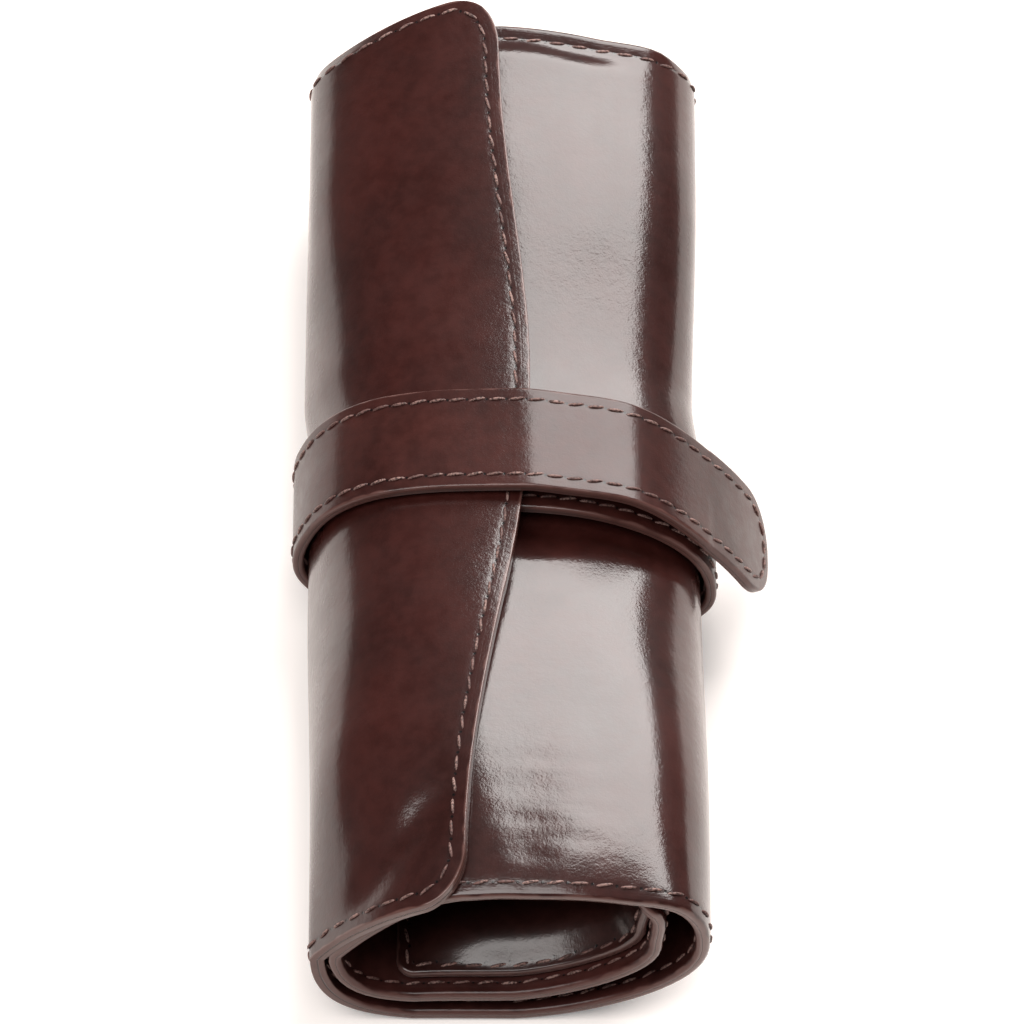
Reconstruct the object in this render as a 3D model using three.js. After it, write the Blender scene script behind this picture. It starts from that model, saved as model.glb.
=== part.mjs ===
// Leather pen roll, rolled up and held by a strap wound round its middle.
//
// The roll lies along Y and rests on z = 0. Its near end is at -Y, X is to the right and Z up. The origin
// is on the underside of the strap, below the middle of the roll.
//
// Every wall is a sheet that follows one changing section: an oval, whose width, widest level and height
// vary along the roll, because the strap draws the middle in and lifts it off the table. A place on the
// section is given by an angle in degrees (0 right, 90 top, 180 left, 270 bottom, and on past 360 for the
// second turn) and by how deep it lies inside the outermost surface.

import * as THREE from 'three';

// Sheet
const roll_length = 175;
const ply = 1.05;
const ply_gap = 0.3;

// Section at the near end, under the strap and at the far end
const width_near = 65.8;
const width_middle = 66;
const width_far = 66.8;
const top_near = 42.3;
const top_middle = 35.8;
const top_far = 41.2;
const widest_near = 23;
const widest_middle = 17.3;
const widest_far = 25;
const sideways_near = 0.9;
const sideways_behind = -1.1;
const sideways_far_share = 0.3;
const belly_lean = 7;
const flat_depth = 0.6;
const cinch_reach = 50;

// Roundness of the section: 2 is an ellipse, more is squarer
const crown_power_near_share = 2.5;
const crown_power_far_share = 2.0;
const belly_power_share = 2.1;

// Left shoulder, which slopes straight down at the near end
const shoulder_reach = 35;
const shoulder_drop = 3.5;
const shoulder_width_power_share = 2;
const shoulder_height_power_share = 1.05;

// Coil
const turn_gap = 0.35;
const slack_bottom = 2.8;
const slack_right = 4.9;
const slack_end = 0.3;
const squeeze_share = 0.7;
const bend_degrees = 168;
const dive_degrees = 420;
const bottom_degrees = 630;
const right_degrees = 720;
const coil_end_degrees = 768;
const coil_step_degrees = 10;
const far_drift = 1.5;
const drift_from_degrees = 405;
const drift_to_degrees = 455;

// Flap
const cut_gap = 0.4;
const hinge_lift = 2;
const edge_near = -6.3;
const edge_far = -1.2;
const edge_bow = 7.2;
const edge_bow_place = 6;
const corner_radius = 9;
const overhang_near = 2.7;
const overhang_far = 6.2;
const overhang_power_share = 1.5;

// Strap
const strap_width = 20;
const strap_gap = 0.3;
const strap_margin = 1.5;
const wound_drift = 4.5;
const left_drift = 1.5;
const front_drift = 4.6;
const front_drift_degrees = 150;
const front_lift = 1.6;
const lift_degrees = 60;
const root_degrees = 112;
const root_clear_degrees = 116;
const strap_bend_degrees = 184;
const strap_meet_degrees = 55;
const tail_degrees = 27;
const tail_length = 21.5;
const tail_bow_degrees = 9;
const tip_radius = 9;

// Pocket panel and pen guard
const pocket_ply = 1.8;
const pocket_length = 118;
const pocket_set_back = 3.2;
const pocket_start_degrees = 598;
const pocket_end_degrees = 758;
const pocket_rise = 2.2;
const pocket_rise_run = 8;
const pocket_sink_from = -30;
const pocket_sink_run = 30;
const pocket_flank_degrees = 45;
const guard_ply = 1.2;
const guard_overlap = 9;
const guard_set_back = 5;
const least_row = 1;

// Derived sizes
const half_length = roll_length / 2;
const wall = 2 * ply + ply_gap;
const layer = wall + strap_gap;
const strap_half = strap_width / 2;
const strap_edge = strap_half + left_drift + strap_margin;
const flat_half = strap_half + wound_drift + strap_margin;
const full_turn = 360;

const leather = new THREE.Color(0x46231f);
const lining_leather = new THREE.Color(0x3a1c19);
const strap_leather = new THREE.Color(0x4c2a26);

function mix(a, b, share) {
  return a + (b - a) * share;
}

function smooth(share) {
  const s = Math.min(Math.max(share, 0), 1);
  return s * s * (3 - 2 * s);
}

// 1 below the strap, falling to 0 where the roll is no longer drawn in
function cinchAt(y) {
  return 1 - smooth((Math.abs(y) - flat_half) / cinch_reach);
}

// The oval section at a place along the roll
function sectionAt(y) {
  const cinch = cinchAt(y);
  const near = y < 0;
  const rest = layer * cinch;
  const widest = mix(near ? widest_near : widest_far, widest_middle, cinch);
  const along = smooth((y + half_length) / roll_length);
  const behind = smooth((y - strap_edge) / (flat_half - strap_edge)) * mix(sideways_far_share, 1, cinch);
  const crownPower = mix(crown_power_near_share, crown_power_far_share, along);
  const shoulder = 1 - smooth((y + half_length) / shoulder_reach);
  return {
    centre: (near ? sideways_near * (1 - cinch) : 0) + sideways_behind * behind,
    lean: near ? belly_lean * (1 - cinch) : 0,
    half: mix(near ? width_near : width_far, width_middle, cinch) / 2,
    widest,
    rise: mix(near ? top_near : top_far, top_middle, cinch) - widest,
    drop: widest - rest + flat_depth,
    rest,
    crownPower,
    leftDrop: shoulder_drop * shoulder,
    leftWidthPower: mix(crownPower, shoulder_width_power_share, shoulder),
    leftHeightPower: mix(crownPower, shoulder_height_power_share, shoulder),
  };
}

// A point of the section, so deep inside the outermost surface. The underside is cut flat to rest on, and at
// the near end it hangs to the left.
function onSection(degrees, depth, y) {
  const section = sectionAt(y);
  const angle = THREE.MathUtils.degToRad(degrees);
  const c = Math.cos(angle);
  const s = Math.sin(angle);
  const crownWidth = c < 0 ? section.leftWidthPower : section.crownPower;
  const crownHeight = c < 0 ? section.leftHeightPower : section.crownPower;
  const widthPower = s > 0 ? crownWidth : belly_power_share;
  const heightPower = s > 0 ? crownHeight : belly_power_share;
  const reach = s > 0 ? section.rise : section.drop;
  const leaned = s < 0 ? section.lean * s * s : 0;
  const dropped = c < 0 ? section.leftDrop * c * c : 0;
  const out = Math.sign(c) * Math.abs(c) ** (2 / widthPower);
  const up = Math.sign(s) * Math.abs(s) ** (2 / heightPower);
  const x = section.centre - leaned + (section.half - depth) * out;
  const z = section.widest - dropped + (reach - depth) * up;
  return new THREE.Vector3(x, y, Math.max(z, section.rest + depth));
}

// How deep the coil's outer face lies, from the bend of the flap to the inner end of the sheet. The second
// turn hangs slack at the ends of the roll, and the strap squeezes it against the first in the middle. Its
// end leans up against the underside of the first turn at the top right.
function coilDepth(degrees, y) {
  const turn = wall + turn_gap;
  const slack = 1 - squeeze_share * cinchAt(y);
  const stops = [
    [bend_degrees, 0],
    [dive_degrees, 0],
    [bend_degrees + full_turn, turn],
    [bottom_degrees, turn + slack_bottom * slack],
    [right_degrees, turn + slack_right * slack],
    [coil_end_degrees, turn + slack_end * slack],
  ];
  for (let i = 1; i < stops.length; i += 1) {
    const [from, shallow] = stops[i - 1];
    const [to, deep] = stops[i];
    if (degrees <= to) {
      return mix(shallow, deep, smooth((degrees - from) / (to - from)));
    }
  }
  return turn + slack_end * slack;
}

// A sheet with thickness: a grid of points on its outer and inner faces, closed round the edge
function sheetSolid(uSteps, vSteps, pointAt) {
  const positions = [];
  const index = [];
  const row = vSteps + 1;
  const faceSize = (uSteps + 1) * row;
  for (let face = 0; face < 2; face += 1) {
    for (let i = 0; i <= uSteps; i += 1) {
      for (let j = 0; j <= vSteps; j += 1) {
        positions.push(...pointAt(i / uSteps, j, face).toArray());
      }
    }
  }
  const quad = (a, b, c, d) => index.push(a, b, c, a, c, d);
  const at = (i, j, face) => face * faceSize + i * row + j;
  for (let i = 0; i < uSteps; i += 1) {
    for (let j = 0; j < vSteps; j += 1) {
      quad(at(i, j, 0), at(i + 1, j, 0), at(i + 1, j + 1, 0), at(i, j + 1, 0));
      quad(at(i, j, 1), at(i, j + 1, 1), at(i + 1, j + 1, 1), at(i + 1, j, 1));
    }
    quad(at(i, 0, 0), at(i, 0, 1), at(i + 1, 0, 1), at(i + 1, 0, 0));
    quad(at(i, vSteps, 0), at(i + 1, vSteps, 0), at(i + 1, vSteps, 1), at(i, vSteps, 1));
  }
  for (let j = 0; j < vSteps; j += 1) {
    quad(at(0, j, 0), at(0, j + 1, 0), at(0, j + 1, 1), at(0, j, 1));
    quad(at(uSteps, j, 0), at(uSteps, j, 1), at(uSteps, j + 1, 1), at(uSteps, j + 1, 0));
  }
  const geometry = new THREE.BufferGeometry();
  geometry.setAttribute('position', new THREE.Float32BufferAttribute(positions, 3));
  geometry.setIndex(volumeOf(positions, index) < 0 ? index.reverse() : index);
  geometry.computeVertexNormals();
  return geometry;
}

function volumeOf(positions, index) {
  let six = 0;
  const corner = (k) => new THREE.Vector3().fromArray(positions, index[k] * 3);
  for (let k = 0; k < index.length; k += 3) {
    six += corner(k).dot(corner(k + 1).cross(corner(k + 2)));
  }
  return six / 6;
}

function leatherMesh(name, geometry, color, roughness) {
  const material = new THREE.MeshStandardMaterial({ color, roughness, metalness: 0 });
  const mesh = new THREE.Mesh(geometry, material);
  mesh.name = name;
  return mesh;
}

// Rows along the roll: close together where the strap draws it in and at the near end, where the shoulder
// slopes off. All long sheets share them.
function rowsAlong(steps) {
  const half = [];
  for (let k = 0; k <= steps; k += 1) {
    half.push(flat_half + (cinch_reach * k) / steps);
  }
  const last = half.at(-1);
  const quarter = (half_length - last) / 4;
  half.push(last + 2 * quarter, half_length);
  const rows = [...half.map((y) => -y), -last - quarter, -last - 3 * quarter, strap_edge, ...half];
  return rows.sort((a, b) => a - b);
}

// 1 at the ends of the roll, falling to 0 where the strap starts to draw it in
function endShare(y) {
  return smooth((Math.abs(y) - flat_half - cinch_reach) / (half_length - flat_half - cinch_reach));
}

// Coil: the sheet from the bend of the flap round to its inner end, about one turn and two thirds. Rolled a
// little askew, it comes out further at the far end from the top inwards.
const coil_rows = rowsAlong(4);
const coil_steps = Math.round((coil_end_degrees - bend_degrees) / coil_step_degrees);

function coilPoint(degrees, inward, y) {
  const point = onSection(degrees, coilDepth(degrees, y) + inward, y);
  const askew = smooth((degrees - drift_from_degrees) / (drift_to_degrees - drift_from_degrees));
  point.y += y > 0 ? far_drift * askew * endShare(y) : 0;
  return point;
}

function coilPly(name, depth, color) {
  const geometry = sheetSolid(coil_steps, coil_rows.length - 1, (u, j, face) => {
    return coilPoint(mix(bend_degrees, coil_end_degrees, u), depth + face * ply, coil_rows[j]);
  });
  return leatherMesh(name, geometry, color, 0.35);
}

// Flap: the free stretch of the sheet over the second turn, lifted where the strap's root lies below it
function flapDepth(degrees, y) {
  const lifted = smooth((bend_degrees - degrees) / (bend_degrees - root_clear_degrees));
  return coilDepth(degrees + full_turn, y) - turn_gap - wall - layer * lifted * cinchAt(y);
}

// Where the free edge lies at a place along the roll, as an angle of the section
function edgeDegrees(y, cornerCut) {
  const along = (y + half_length) / roll_length;
  const bow = edge_bow * Math.cos((Math.PI * (y - edge_bow_place)) / roll_length) ** 2;
  const section = sectionAt(y);
  const share = (mix(edge_near, edge_far, along) + bow - cornerCut - section.centre) / section.half;
  const power = share < 0 ? section.leftWidthPower : section.crownPower;
  const c = Math.sign(share) * Math.abs(share) ** (power / 2);
  return THREE.MathUtils.radToDeg(Math.acos(c));
}

// Rows of the flap: those of the coil, with more round the corners
const corner_steps = 4;

function flapRows() {
  const plain = coil_rows.filter((y) => Math.abs(y) < half_length - corner_radius);
  const rows = plain.map((y) => ({ y, cut: 0 }));
  for (let k = 0; k <= corner_steps; k += 1) {
    const angle = (Math.PI / 2) * (k / corner_steps);
    const y = half_length - corner_radius * (1 - Math.sin(angle));
    const cut = corner_radius * (1 - Math.cos(angle));
    rows.unshift({ y: -y, cut });
    rows.push({ y, cut });
  }
  return rows;
}

const flap_rows = flapRows();
const flap_steps = 15;
const bend_point = onSection(bend_degrees, -hinge_lift, 0);

function flapPly(name, depth, color) {
  const start = bend_degrees - THREE.MathUtils.radToDeg(cut_gap / sectionAt(0).half);
  const geometry = sheetSolid(flap_steps, flap_rows.length - 1, (u, j, face) => {
    const { y, cut } = flap_rows[j];
    const degrees = mix(start, edgeDegrees(y, cut), u);
    const proud = y < 0 ? -overhang_near : overhang_far;
    const overhang = proud * endShare(y) * smooth(u) ** overhang_power_share;
    const point = onSection(degrees, flapDepth(degrees, y) + depth + face * ply, y);
    point.y += overhang;
    return point.sub(bend_point);
  });
  return leatherMesh(name, geometry, color, 0.35);
}

// How far the pocket panel stands off the lining behind its sewn near edge, for the pens
function pocketRise(degrees, y) {
  const inward = smooth((y + half_length - pocket_set_back) / pocket_rise_run);
  const sunk = 1 - smooth((y - pocket_sink_from) / pocket_sink_run);
  const left = smooth((degrees - pocket_start_degrees) / pocket_flank_degrees);
  const right = smooth((pocket_end_degrees - degrees) / pocket_flank_degrees);
  return pocket_rise * inward * sunk * left * right;
}

// Pocket panel and pen guard: leaves on the lining of the second turn
function innerLeaf(name, from, to, yFrom, yTo, riseAt, depth, thickness) {
  const steps = Math.round((to - from) / coil_step_degrees);
  const rows = coil_rows.filter((y) => y > yFrom + least_row && y < yTo - least_row);
  const edges = [yFrom, ...rows, yTo];
  const geometry = sheetSolid(steps, edges.length - 1, (u, j, face) => {
    const degrees = mix(from, to, u);
    return coilPoint(degrees, riseAt(degrees, edges[j]) + depth + face * thickness, edges[j]);
  });
  return leatherMesh(name, geometry, lining_leather, 0.3);
}

// Strap, wound part: from its root under the flap round the right side and below, and up the left side.
// It wanders towards the near end on the right side and comes back on the left.
function underDepth(degrees) {
  return coilDepth(degrees + full_turn, 0) - layer;
}

function woundDrift(degrees) {
  const rightSide = smooth((root_degrees - degrees) / root_degrees);
  const backLeft = smooth(-degrees / (full_turn - strap_bend_degrees));
  return -wound_drift * (rightSide - backLeft) + left_drift * backLeft;
}

const wound_steps = 42;

function woundPly(name, depth, color) {
  const to = strap_bend_degrees - full_turn;
  const geometry = sheetSolid(wound_steps, 1, (u, j, face) => {
    const degrees = mix(root_degrees, to, u);
    const y = mix(-strap_half, strap_half, j) + woundDrift(degrees);
    return onSection(degrees, underDepth(degrees) + depth + face * ply, y);
  });
  return leatherMesh(name, geometry, color, 0.3);
}

// Strap, front stretch: over the flap, then down onto the wound part, which it clears for a stretch
function frontDepth(degrees) {
  const edge = edgeDegrees(0, 0);
  if (degrees >= bend_degrees) {
    return -layer;
  }
  if (degrees >= edge) {
    return flapDepth(degrees, 0) - layer;
  }
  const lowered = smooth((edge - degrees) / (edge - strap_meet_degrees));
  const lifted = smooth((edge - degrees) / (edge - lift_degrees));
  const clear = front_lift * lifted * smooth((degrees - tail_degrees) / (lift_degrees - tail_degrees));
  return mix(flapDepth(edge, 0) - layer, -2 * layer, lowered) - clear;
}

// The front stretch wanders towards the near end on the right side
function frontDrift(degrees) {
  return left_drift - front_drift * smooth((front_drift_degrees - degrees) / front_drift_degrees);
}

const strap_bend_point = onSection(strap_bend_degrees, -layer, 0);
const front_steps = 24;

function frontPly(name, depth, color) {
  const start = strap_bend_degrees - THREE.MathUtils.radToDeg(cut_gap / sectionAt(0).half);
  const geometry = sheetSolid(front_steps, 1, (u, j, face) => {
    const degrees = mix(start, tail_degrees, u);
    const y = mix(-strap_half, strap_half, j) + frontDrift(degrees);
    return onSection(degrees, frontDepth(degrees) + depth + face * ply, y).sub(strap_bend_point);
  });
  return leatherMesh(name, geometry, color, 0.3);
}

// Strap, tail: leaves the roll at a tangent and ends in a round tip
const tail_point = onSection(tail_degrees, -2 * layer, 0).setY(frontDrift(tail_degrees));
const tail_steps = 9;
const straight_steps = 3;

// Direction in which the front stretch ends
function tailHeading() {
  const ahead = onSection(tail_degrees - 1, -2 * layer, 0);
  const behind = onSection(tail_degrees + 1, -2 * layer, 0);
  const run = ahead.sub(behind);
  return Math.atan2(run.z, run.x);
}

function tailPly(name, depth, color) {
  const heading = tailHeading();
  const bow = THREE.MathUtils.degToRad(tail_bow_degrees);
  const straight = tail_length - tip_radius;
  const geometry = sheetSolid(tail_steps, 1, (u, j, face) => {
    const straightShare = straight_steps / tail_steps;
    const round = Math.max((u - straightShare) / (1 - straightShare), 0) * (Math.PI / 2);
    const run = mix(cut_gap, straight, Math.min(u / straightShare, 1)) + tip_radius * Math.sin(round);
    const half = strap_half - tip_radius * (1 - Math.cos(round));
    const turned = heading - bow * (run / tail_length);
    const inward = depth + face * ply;
    return new THREE.Vector3(
      run * Math.cos(turned) + inward * Math.sin(turned),
      mix(-half, half, j),
      run * Math.sin(turned) - inward * Math.cos(turned),
    );
  });
  return leatherMesh(name, geometry, color, 0.3);
}

function assemble() {
  const lining = ply + ply_gap;
  const onLining = wall + ply_gap;
  const pocket_near = -half_length + pocket_set_back;
  const pocket_far = pocket_near + pocket_length;
  const guard_far = half_length - guard_set_back;
  const roll = new THREE.Group();
  roll.add(
    coilPly('body_outer_ply', 0, leather),
    coilPly('body_lining_ply', lining, lining_leather),
    innerLeaf(
      'pocket_panel', pocket_start_degrees, pocket_end_degrees,
      pocket_near, pocket_far, pocketRise, onLining, pocket_ply,
    ),
    innerLeaf(
      'pen_guard', pocket_start_degrees + coil_step_degrees, pocket_end_degrees - coil_step_degrees,
      pocket_far - guard_overlap, guard_far, () => 0, onLining + pocket_ply + ply_gap, guard_ply,
    ),
    woundPly('strap_wound_face_ply', 0, strap_leather),
    woundPly('strap_wound_back_ply', lining, lining_leather),
  );

  const flap = new THREE.Group();
  flap.position.copy(bend_point);
  flap.add(flapPly('flap_outer_ply', 0, leather), flapPly('flap_lining_ply', lining, lining_leather));

  const front = new THREE.Group();
  front.position.copy(strap_bend_point);
  front.add(frontPly('strap_front_face_ply', 0, strap_leather));
  front.add(frontPly('strap_front_back_ply', lining, lining_leather));

  const tail = new THREE.Group();
  tail.position.copy(tail_point).sub(strap_bend_point);
  tail.add(tailPly('strap_tail_face_ply', 0, strap_leather));
  tail.add(tailPly('strap_tail_back_ply', lining, lining_leather));
  front.add(tail);

  roll.add(flap, front);
  return roll;
}

export default assemble();
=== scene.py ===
import math

import bpy
import numpy as np
from mathutils import Matrix, Vector, noise
from mathutils.kdtree import KDTree


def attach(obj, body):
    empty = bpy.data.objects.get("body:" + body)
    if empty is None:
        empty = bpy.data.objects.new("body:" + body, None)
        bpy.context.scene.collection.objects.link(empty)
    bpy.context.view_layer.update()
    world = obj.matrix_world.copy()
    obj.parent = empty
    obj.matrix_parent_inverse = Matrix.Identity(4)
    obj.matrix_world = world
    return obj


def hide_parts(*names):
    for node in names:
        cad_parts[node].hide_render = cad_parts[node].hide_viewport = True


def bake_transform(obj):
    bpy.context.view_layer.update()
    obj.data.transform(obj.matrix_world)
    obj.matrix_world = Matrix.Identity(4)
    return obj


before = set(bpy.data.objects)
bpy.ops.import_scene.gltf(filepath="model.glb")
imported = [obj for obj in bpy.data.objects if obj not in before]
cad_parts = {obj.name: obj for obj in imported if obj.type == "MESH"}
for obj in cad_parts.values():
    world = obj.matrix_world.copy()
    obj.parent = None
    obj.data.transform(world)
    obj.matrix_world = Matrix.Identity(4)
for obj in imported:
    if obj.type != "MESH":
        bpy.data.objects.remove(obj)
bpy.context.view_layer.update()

scene = bpy.context.scene
scene.view_settings.view_transform = "Standard"
MM = 0.001


# Camera: a long lens in front of the roll's open near end, looking down on it from 55.5 degrees above the
# table. Its height, lens and framing were fitted against the outline in the photograph.
looked_at = Vector((1.3, -0.6, 22)) * MM
camera_rise = math.radians(55.5)
camera_distance = 1.5
camera_back = Vector((0, -math.cos(camera_rise), math.sin(camera_rise)))
bpy.ops.object.camera_add(
    location=looked_at + camera_distance * camera_back, rotation=(math.pi / 2 - camera_rise, 0, 0)
)
camera = bpy.context.object
camera.name = "camera"
camera.data.sensor_width = 36
camera.data.lens = 312.7
scene.camera = camera


# Leather: smooth glossy cowhide, dyed dark oxblood-brown and burnished at the edges. The sheet, the strap,
# the lining and the pockets each have a finish of it. They share the node groups of grain and seam marks.
def new_node(tree, kind, inputs=None, **settings):
    node = tree.nodes.new(kind)
    for key, value in settings.items():
        setattr(node, key, value)
    for key, value in (inputs or {}).items():
        if isinstance(value, bpy.types.NodeSocket):
            tree.links.new(value, node.inputs[key])
        else:
            node.inputs[key].default_value = value
    return node


def calc(tree, operation, *values):
    return new_node(tree, "ShaderNodeMath", dict(enumerate(values)), operation=operation).outputs[0]


def fade(tree, value, start, end, low=0.0, high=1.0):
    inputs = {"Value": value, "From Min": start, "From Max": end, "To Min": low, "To Max": high}
    return new_node(tree, "ShaderNodeMapRange", inputs, interpolation_type="SMOOTHSTEP").outputs[0]


def blend_colour(tree, share, first, second, how="MIX"):
    node = new_node(tree, "ShaderNodeMix", data_type="RGBA", blend_type=how)
    for key, value in ((0, share), (6, first), (7, second)):
        if isinstance(value, bpy.types.NodeSocket):
            tree.links.new(value, node.inputs[key])
        else:
            node.inputs[key].default_value = value
    return node.outputs[2]


def clouds(tree, place, scale, detail=3.0, roughness=0.5, stretch=(1, 1, 1)):
    mapped = new_node(tree, "ShaderNodeMapping", {"Vector": place, "Scale": stretch}).outputs[0]
    inputs = {"Vector": mapped, "Scale": scale, "Detail": detail, "Roughness": roughness}
    return new_node(tree, "ShaderNodeTexNoise", inputs).outputs["Fac"]


def node_group(name, inputs, outputs):
    tree = bpy.data.node_groups.new(name, "ShaderNodeTree")
    for label, kind, value in inputs:
        socket = tree.interface.new_socket(label, in_out="INPUT", socket_type=kind)
        socket.default_value = value
    for label, kind in outputs:
        tree.interface.new_socket(label, in_out="OUTPUT", socket_type=kind)
    return tree, tree.nodes.new("NodeGroupInput").outputs, tree.nodes.new("NodeGroupOutput").inputs


# Grain: dye that took unevenly, polish that varies, and fine pores
leather_grain, given, put = node_group(
    "leather_grain",
    [
        ("Colour", "NodeSocketColor", (0.06, 0.02, 0.018, 1)),
        ("Mottle", "NodeSocketFloat", 0.3),
        ("Gloss", "NodeSocketFloat", 0.3),
    ],
    [("Colour", "NodeSocketColor"), ("Roughness", "NodeSocketFloat"), ("Height", "NodeSocketFloat")],
)
place = new_node(leather_grain, "ShaderNodeTexCoord").outputs["Object"]
dye = clouds(leather_grain, place, 55, 4, 0.55, (1, 0.6, 1))
specks = clouds(leather_grain, place, 420, 3, 0.6)
uneven_dye = fade(leather_grain, dye, 0.3, 0.7, -1, 1)
dark_specks = fade(leather_grain, specks, 0.3, 0.7, -0.5, 0.5)
dye_and_specks = calc(leather_grain, "ADD", uneven_dye, dark_specks)
dye_share = calc(leather_grain, "MULTIPLY", dye_and_specks, given["Mottle"])
brightness = calc(leather_grain, "ADD", dye_share, 1.0)
tinted = new_node(
    leather_grain, "ShaderNodeHueSaturation", {"Color": given["Colour"], "Value": brightness}
).outputs[0]
leather_grain.links.new(tinted, put["Colour"])
polish = clouds(leather_grain, place, 130, 3, 0.6)
worn_polish = fade(leather_grain, polish, 0.3, 0.75, 0.85, 1.2)
dull_specks = fade(leather_grain, specks, 0.3, 0.7, -0.1, 0.1)
rough = calc(leather_grain, "MULTIPLY", given["Gloss"], calc(leather_grain, "ADD", worn_polish, dull_specks))
leather_grain.links.new(rough, put["Roughness"])
pores = new_node(
    leather_grain, "ShaderNodeTexVoronoi", {"Vector": place, "Scale": 1500, "Randomness": 1.0},
    feature="DISTANCE_TO_EDGE",
).outputs["Distance"]
pits = fade(leather_grain, pores, 0.0, 0.25, -0.003, 0)
swell = fade(leather_grain, clouds(leather_grain, place, 850, 4, 0.6), 0.2, 0.8, -0.007, 0.007)
slow = fade(leather_grain, clouds(leather_grain, place, 180, 2, 0.5), 0.2, 0.8, -0.009, 0.009)
fine = fade(leather_grain, clouds(leather_grain, place, 3200, 2, 0.5), 0.2, 0.8, -0.0022, 0.0022)
coarse_relief = calc(leather_grain, "ADD", pits, swell)
grain_height = calc(leather_grain, "ADD", coarse_relief, calc(leather_grain, "ADD", slow, fine))
leather_grain.links.new(grain_height, put["Height"])

# Marks of a seam: the groove that the thread draws in, its needle holes and the creased line by the edge.
# They follow the "seam" map, which holds the run along the seam in stitches and the distance from the edge
# in mm. The joint between the plies shows on the rim, half-way between the faces 0 and 1 of "face".
pitch = 4.0
seam_inset = 2.4
seam_marks, given, put = node_group(
    "seam_marks", [],
    [(label, "NodeSocketFloat") for label in ("Edge", "Groove", "Hole", "Joint", "Height")],
)
seam_map = new_node(seam_marks, "ShaderNodeUVMap", uv_map="seam").outputs[0]
along_across = new_node(seam_marks, "ShaderNodeSeparateXYZ", {0: seam_map}).outputs
on_object = new_node(seam_marks, "ShaderNodeTexCoord").outputs["Object"]
wobble = fade(seam_marks, clouds(seam_marks, on_object, 300, 1), 0.2, 0.8, -0.25, 0.25)
from_edge = along_across["Y"]
edge_mask = fade(seam_marks, calc(seam_marks, "ADD", from_edge, wobble), 0.12, 0.55, 1, 0)
seam_marks.links.new(edge_mask, put["Edge"])
# The groove mask also carries painted shade: the leather's colour is darkened along the seam line
off_seam = calc(seam_marks, "ABSOLUTE", calc(seam_marks, "SUBTRACT", from_edge, seam_inset))
groove = fade(seam_marks, off_seam, 0.1, 0.9, 1, 0)
seam_marks.links.new(groove, put["Groove"])
# The hole mask also carries painted shade: the needle holes are coloured near black
in_stitch = calc(seam_marks, "FRACT", calc(seam_marks, "ADD", along_across["X"], 0.5))
off_hole = calc(seam_marks, "ABSOLUTE", calc(seam_marks, "SUBTRACT", in_stitch, 0.5))
to_hole = calc(seam_marks, "MULTIPLY", pitch, off_hole)
squares = [calc(seam_marks, "POWER", distance, 2.0) for distance in (to_hole, off_seam)]
hole_distance = calc(seam_marks, "SQRT", calc(seam_marks, "ADD", *squares))
hole = fade(seam_marks, hole_distance, 0.12, 0.36, 1, 0)
seam_marks.links.new(hole, put["Hole"])
near_hole = fade(seam_marks, to_hole, 0.0, 1.4, 1, 0)
near_seam = fade(seam_marks, off_seam, 0.2, 1.1, 1, 0)
pull = calc(seam_marks, "MULTIPLY", near_hole, near_seam)
crease_inset = 1.3
off_crease = calc(seam_marks, "ABSOLUTE", calc(seam_marks, "SUBTRACT", from_edge, crease_inset))
crease = fade(seam_marks, off_crease, 0.0, 0.25, -0.004, 0)
side = new_node(seam_marks, "ShaderNodeAttribute", attribute_name="face").outputs["Fac"]
off_joint = calc(seam_marks, "ABSOLUTE", calc(seam_marks, "SUBTRACT", side, 0.52))
ply_joint = fade(seam_marks, off_joint, 0.02, 0.09, 1, 0)
seam_marks.links.new(ply_joint, put["Joint"])
hole_depth = calc(seam_marks, "MULTIPLY", hole, -0.01)
pull_depth = calc(seam_marks, "MULTIPLY", pull, -0.009)
joint_depth = calc(seam_marks, "MULTIPLY", ply_joint, -0.06)
dents = calc(seam_marks, "ADD", hole_depth, pull_depth)
seam_height = calc(seam_marks, "ADD", calc(seam_marks, "ADD", crease, dents), joint_depth)
seam_marks.links.new(seam_height, put["Height"])


def leather(name, colour, edge_colour, mottle, gloss, coat, coat_roughness):
    material = bpy.data.materials.new(name)
    material.use_nodes = True
    tree = material.node_tree
    shader = tree.nodes["Principled BSDF"]
    grain = new_node(tree, "ShaderNodeGroup", node_tree=leather_grain)
    grain.inputs["Colour"].default_value = (*colour, 1)
    grain.inputs["Mottle"].default_value = mottle
    grain.inputs["Gloss"].default_value = gloss
    marks = new_node(tree, "ShaderNodeGroup", node_tree=seam_marks).outputs
    edged = blend_colour(tree, marks["Edge"], grain.outputs["Colour"], (*edge_colour, 1))
    joint_shade = calc(tree, "MULTIPLY", marks["Joint"], 0.75)
    jointed = blend_colour(tree, joint_shade, edged, (0.014, 0.005, 0.004, 1))
    # Painted shade along the seam's groove: the colour is darkened there in place of the groove's own shading
    painted_groove_shade = calc(tree, "MULTIPLY", marks["Groove"], 0.3)
    sewn = blend_colour(tree, painted_groove_shade, jointed, (0.012, 0.004, 0.004, 1))
    # Painted shade in the needle holes: near-black colour where the thread dives into the leather
    holed = blend_colour(tree, marks["Hole"], sewn, (0.002, 0.001, 0.001, 1))
    tree.links.new(holed, shader.inputs["Base Color"])
    dull = calc(tree, "ADD", grain.outputs["Roughness"], calc(tree, "MULTIPLY", marks["Edge"], 0.1))
    tree.links.new(dull, shader.inputs["Roughness"])
    height = calc(tree, "ADD", grain.outputs["Height"], marks["Height"])
    bump = new_node(tree, "ShaderNodeBump", {"Height": height, "Strength": 1.0, "Distance": MM})
    tree.links.new(bump.outputs[0], shader.inputs["Normal"])
    tree.links.new(bump.outputs[0], shader.inputs["Coat Normal"])
    shader.inputs["IOR"].default_value = 1.5
    shader.inputs["Specular IOR Level"].default_value = 0.1
    shader.inputs["Coat Weight"].default_value = coat
    shader.inputs["Coat Roughness"].default_value = coat_roughness
    return material


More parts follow.
